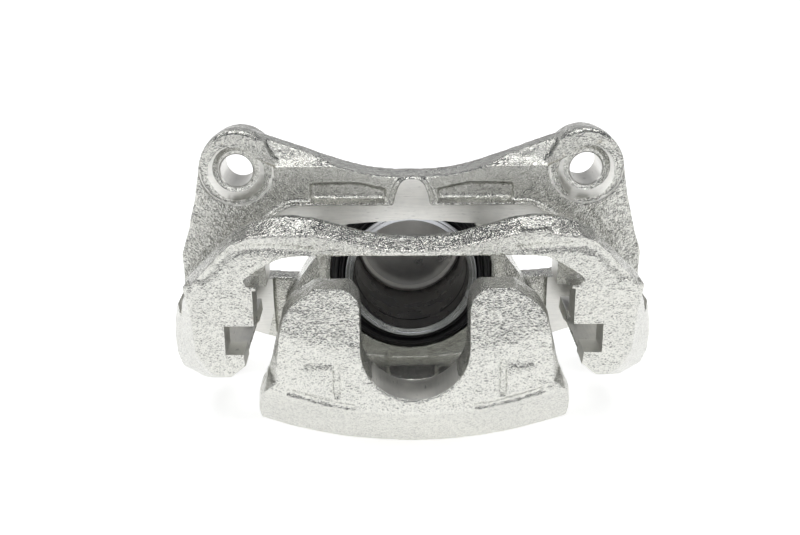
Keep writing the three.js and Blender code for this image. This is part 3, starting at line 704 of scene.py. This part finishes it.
# ------------------------------------------------------------------ piston and its rubber
def piston():
    """A cup with a groove for the boot's lip, ground outside and drawn inside; its inner wall is darkened
    with painted shade and its inner fillet carries a painted highlight.
    """
    radius, cup, length = PISTON_RADIUS, 25.05, PISTON_LENGTH
    end_thickness = 4.5
    depth = length - end_thickness
    outside = [
        (0, length), (radius - 1.5, length), (radius, length - 1.5), (radius, 7.2), (radius - 1.7, 7.2),
        (radius - 1.7, 4.4), (radius, 4.4), (radius, 0), (27.2, 0), (27.05, 0.18), (26.9, 0),
        (cup + 0.2, 0),
    ]
    inside = [
        (cup + 0.2, 0), (cup, 0.5), (cup, 9.6), (cup - 0.25, 10.2), (cup - 0.25, depth - 4.4),
        (cup - 0.6, depth - 1.2), (cup - 4.8, depth), (0, depth),
    ]
    profile = [*rounded(outside, 0.35), *rounded(inside, 2.2, 8)[1:]]
    piece = spun("piston_cup", profile, PISTON_OUTSIDE, turns=FINE_TURNS)
    for material in (PISTON_INSIDE_SHADED, PISTON_FILLET_HIGHLIGHT, PISTON_END):
        piece.data.materials.append(material)
    # The inner wall takes the painted shade material, and the fillet near the end takes the painted
    # highlight.
    shaded_wall_index, highlight_index, end_index = 1, 2, 3
    corner_depth, corner_radius = depth - 2.4, cup - 2.6
    for face in piece.data.polygons:
        place = (face.center - PISTON_FACE) / MM
        from_axis = math.hypot(place.x, place.z)
        if from_axis >= cup + 0.1 or not 0.3 < place.y < length - 1:
            continue
        if place.y <= corner_depth:
            face.material_index = shaded_wall_index
        else:
            face.material_index = highlight_index if from_axis > corner_radius else end_index
    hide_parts("piston")
    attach(piece, "piston")


def dust_boot():
    """The boot's folded ring, held in the housing, and its sleeve around the piston."""
    ring = [
        (29.1, 7.3), (29.1, 3.4), (29.7, 2.3), (30.4, 2.5), (30.9, 3.9), (31.5, 4), (32.1, 2.7),
        (32.9, 2.3), (33.6, 2.9), (34.1, 3.6), (34.9, 3.3), (35, 7.5), (33.2, 7.5), (32.6, 5.6),
        (31.4, 5.4), (30.2, 6), (29.9, 7.4),
    ]
    folded = spun("piston_dust_boot_ring", rounded_ring(ring, 0.5), BLACK_RUBBER, turns=FINE_TURNS)
    sleeve = [
        (27.2, 4.7), (28.9, 4.6), (29, 5.3), (28.85, 6.0), (29.05, 6.6), (28.9, 7.1), (29.6, 7.5),
        (29.6, 7.9), (28.7, 7.9), (28.65, 6.6), (28.65, 6.2), (27.2, 6.2),
    ]
    stretched = spun(
        "piston_dust_boot_sleeve", rounded_ring(sleeve, 0.2), BLACK_RUBBER, turns=FINE_TURNS,
    )
    for piece in (folded, stretched):
        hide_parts("piston_dust_boot")
    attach(folded, "caliper")
    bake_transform(stretched)


# ------------------------------------------------------------------ guide pins
def guide_pin(label, side):
    """A pin with a hexagon at its back end; the right one is thinner where it carries the bushing."""
    back = PIN_HIGH.y
    front = PIN_LOW.y
    across_flats, hex_length = 17, 7.7
    hex_front = back - hex_length
    tip = (
        [(5.4, -19.5), (4.1, -19.5), (4.1, front + 1), (3.3, front)]
        if side > 0 else [(5.4, front + 1), (4.4, front)]
    )
    profile = [
        (0, back), (9.3, back), (9.8, back - 0.5), (9.8, hex_front + 0.6), (9.2, hex_front),
        (6.6, hex_front - 0.2), (5, hex_front - 0.4), (5, hex_front - 2.6), (5.4, hex_front - 3),
        *tip, (0, front),
    ]
    centre = (side * PIN_X, 0, PIN_Z)
    piece = spun(
        f"guide_pin_{label}_turned", rounded(profile, 0.25, 3), PLATED, centre,
        flats=(across_flats, hex_front - 0.1, back + 1),
    )
    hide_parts(f"guide_pin_{label}")
    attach(piece, "caliper")


def guide_pin_bolt(label, side):
    """The flanged bolt that holds a pin to its lug."""
    low, high = span(f"guide_pin_bolt_{label}")
    across_flats, head = 13, 33.3
    profile = [
        (0, low.y), (2.8, low.y), (3.5, low.y + 1), (3.5, head), (8.6, head), (8.6, head + 1.2),
        (7, head + 2.4), (7.5, head + 2.5), (7.5, high.y - 0.9), (6.2, high.y), (4, high.y),
        (3.4, high.y - 0.6), (0, high.y - 0.6),
    ]
    piece = spun(
        f"guide_pin_bolt_{label}_forged", rounded(profile, 0.3, 3), PLATED, (side * PIN_X, 0, PIN_Z),
        flats=(across_flats, head + 2.41, high.y + 1),
    )
    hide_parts(f"guide_pin_bolt_{label}")
    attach(piece, "caliper")


def guide_pin_boot(label, side):
    """The pleated boot between the bracket's boss and the pin's groove."""
    low, high = span(f"guide_pin_boot_{label}")
    profile = [
        (6.2, low.y), (10.6, low.y), (10.7, 4), (8.3, 4.8), (11.4, 6.2), (8.3, 7.7), (11.4, 9.2),
        (9.4, 10.4), (9.3, high.y), (5.5, high.y), (5.5, 10.2), (8, 9.4), (6.9, 7.7), (8.9, 6.2),
        (6.5, 4.3),
    ]
    piece = spun(
        f"guide_pin_boot_{label}_pleated", rounded_ring(profile, 0.6), BLACK_RUBBER,
        (side * PIN_X, 0, PIN_Z),
    )
    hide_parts(f"guide_pin_boot_{label}")
    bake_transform(piece)


# ------------------------------------------------------------------ ports
BLEEDER_TILT = math.radians(25)
BLEEDER_Y = (span("bleeder_screw")[0].y + span("bleeder_screw")[1].y) / 2
INLET_LOW, INLET_HIGH = span("inlet_plug")


def bleeder_screw():
    """The screw with its cone, hexagon and nipple, along its own tilted axis."""
    across_flats, hex_front, hex_back = 9.8, 47.55, 52.7
    profile = [
        (0, 33.9), (0.9, 33.9), (3.7, 37), (3.7, 47.5), (6.1, 47.6), (6.5, 48), (6.5, 52.1), (6.0, 52.6),
        (3.3, 53), (3.1, 54.4), (2.4, 55.2), (2.4, 56.6), (3.2, 57.6), (2.4, 60.6), (0, 60.6),
    ]
    piece = spun(
        "bleeder_screw_turned", rounded(profile, 0.25, 3), PLATED, (0, BLEEDER_Y, 0), BLEEDER_TILT,
        flats=(across_flats, hex_front, hex_back),
    )
    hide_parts("bleeder_screw")
    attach(piece, "bleeder")


def bleeder_cap():
    """The rubber cap over the nipple."""
    profile = [
        (3.7, 54), (4.8, 54), (5.1, 54.8), (5.1, 56.2), (4.5, 57), (4.5, 58.2), (4.3, 58.5), (4.5, 58.8),
        (4.5, 62.4), (3.2, 64), (0, 64), (0, 61.4), (3.7, 61.4), (3.7, 54),
    ]
    piece = spun(
        "bleeder_cap_moulded", rounded(profile, 0.35, 3), BLACK_RUBBER, (0, BLEEDER_Y, 0), BLEEDER_TILT,
    )
    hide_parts("bleeder_cap")
    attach(piece, "bleeder_cap")


def inlet_plug():
    """The travel plug in the hose port, with a wide head."""
    front, back = INLET_LOW.y, INLET_HIGH.y
    head = back - 3.7
    profile = [
        (0, front), (3.6, front), (4.3, front + 1), (4.3, head), (8, head), (8, head + 2.3),
        (7, head + 3.3), (4.4, back), (4, back - 1.6), (0, back - 1.6),
    ]
    centre = ((INLET_LOW.x + INLET_HIGH.x) / 2, 0, (INLET_LOW.z + INLET_HIGH.z) / 2)
    piece = spun("inlet_plug_moulded", rounded(profile, 0.35, 3), RED_PLASTIC, centre)
    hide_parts("inlet_plug")
    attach(piece, "inlet_plug")


def carried_over():
    """The two nodes that stay as they are, inside the bore and inside the right-hand pin's bore."""
    for name, material in (("piston_seal", BLACK_RUBBER), ("guide_pin_bushing", RED_RUBBER)):
        node_object = frame["nodes"][name]
        node_object.data.materials.clear()
        node_object.data.materials.append(material)


# ------------------------------------------------------------------ camera, light and floor
def camera():
    """A camera where the photograph's was, worked out from the piston's rim and the bracket's sides."""
    azimuth, elevation, roll = (math.radians(a) for a in (0.463, 19.80, -0.26))
    place = mm(-8.278, -428.64, 158.08)
    ahead = Vector((
        math.sin(azimuth) * math.cos(elevation), math.cos(azimuth) * math.cos(elevation),
        -math.sin(elevation),
    ))
    level = Vector((math.cos(azimuth), -math.sin(azimuth), 0))
    upright = level.cross(ahead)
    right = level * math.cos(roll) + upright * math.sin(roll)
    up = upright * math.cos(roll) - level * math.sin(roll)
    data = bpy.data.cameras.new("camera")
    data.sensor_width = 36
    data.lens = 47.11
    data.clip_start = 0.01
    seen_from = bpy.data.objects.new("camera", data)
    seen_from.matrix_world = Matrix.Translation(place) @ Matrix((
        (right.x, up.x, -ahead.x, 0), (right.y, up.y, -ahead.y, 0), (right.z, up.z, -ahead.z, 0),
        (0, 0, 0, 1),
    ))
    bpy.context.scene.collection.objects.link(seen_from)
    bpy.context.scene.camera = seen_from


def softbox(name, place, width, height, radiance):
    """A rectangular light that faces the object. Its power follows from the brightness it is seen with."""
    aim = Vector((0, 0, 0.05))
    data = bpy.data.lights.new(name, "AREA")
    data.shape = "RECTANGLE"
    data.size = width
    data.size_y = height
    data.energy = radiance * math.pi * width * height
    light = bpy.data.objects.new(name, data)
    light.location = place
    light.rotation_euler = (aim - Vector(place)).to_track_quat("-Z", "Y").to_euler()
    light.visible_camera = False
    bpy.context.scene.collection.objects.link(light)


def studio():
    """Four soft lights in a room that is grey in front, paler behind the object, and dark overhead."""
    softbox("softbox_left", (-2.6, -1.2, 1.7), 1.5, 1.4, 2.8)
    softbox("softbox_right", (2.6, -1.0, 1.7), 1.5, 1.4, 2.8)
    softbox("softbox_above", (0, -1.25, 2.0), 1.7, 0.6, 5)
    softbox("softbox_behind", (0, 0.5, 2.1), 1.9, 0.3, 9)
    world = bpy.data.worlds.new("studio")
    world.use_nodes = True
    tree = world.node_tree
    background = next(n for n in tree.nodes if n.type == "BACKGROUND")
    direction = tree.nodes.new("ShaderNodeTexCoord").outputs["Generated"]
    split = node(tree, "ShaderNodeSeparateXYZ", {0: direction})
    behind = remapped(tree, split.outputs["Y"], -0.2, 0.8)
    height = maths(tree, "SUBTRACT", split.outputs["Z"], maths(tree, "MULTIPLY", behind, 0.22))
    overhead = remapped(tree, height, 0.02, 0.3)
    level = mixed(tree, behind, (0.4, 0.4, 0.4, 1), (0.75, 0.75, 0.75, 1))
    seen = mixed(tree, overhead, level, (0.045, 0.05, 0.06, 1))
    tree.links.new(seen, background.inputs["Color"])
    bpy.context.scene.world = world


def floor():
    """A white floor, lit a little from within so that shadows on it stay faint."""
    material, tree, shader, places = new_material("floor")
    tone = mixed(tree, noise_of(tree, places, 6, 2.0), (0.86, 0.86, 0.86, 1), (0.88, 0.88, 0.88, 1))
    link(tree, shader, Base_Color=tone)
    shader.inputs["Roughness"].default_value = 0.9
    split = node(tree, "ShaderNodeSeparateXYZ", {0: places})
    glow = remapped(tree, split.outputs["Y"], -0.6, 2.4, 0.6, 0.95)
    link(tree, shader, Emission_Strength=glow)
    shader.inputs["Emission Color"].default_value = (1, 1, 1, 1)
    reach, clearance = 6, 0.0002
    drop = CAD_BOX[0].z - clearance
    corners = [(-reach, -reach), (reach, -reach), (reach, reach), (-reach, reach)]
    ground = add_object("floor", [(x, y, drop) for x, y in corners], [(0, 1, 2, 3)], material)


camera()
studio()
floor()
bpy.context.scene.view_settings.view_transform = "Standard"

bracket()
housing()
piston()
dust_boot()
for label, side in (("left", -1), ("right", 1)):
    guide_pin(label, side)
    guide_pin_bolt(label, side)
    guide_pin_boot(label, side)
bleeder_screw()
bleeder_cap()
inlet_plug()
carried_over()
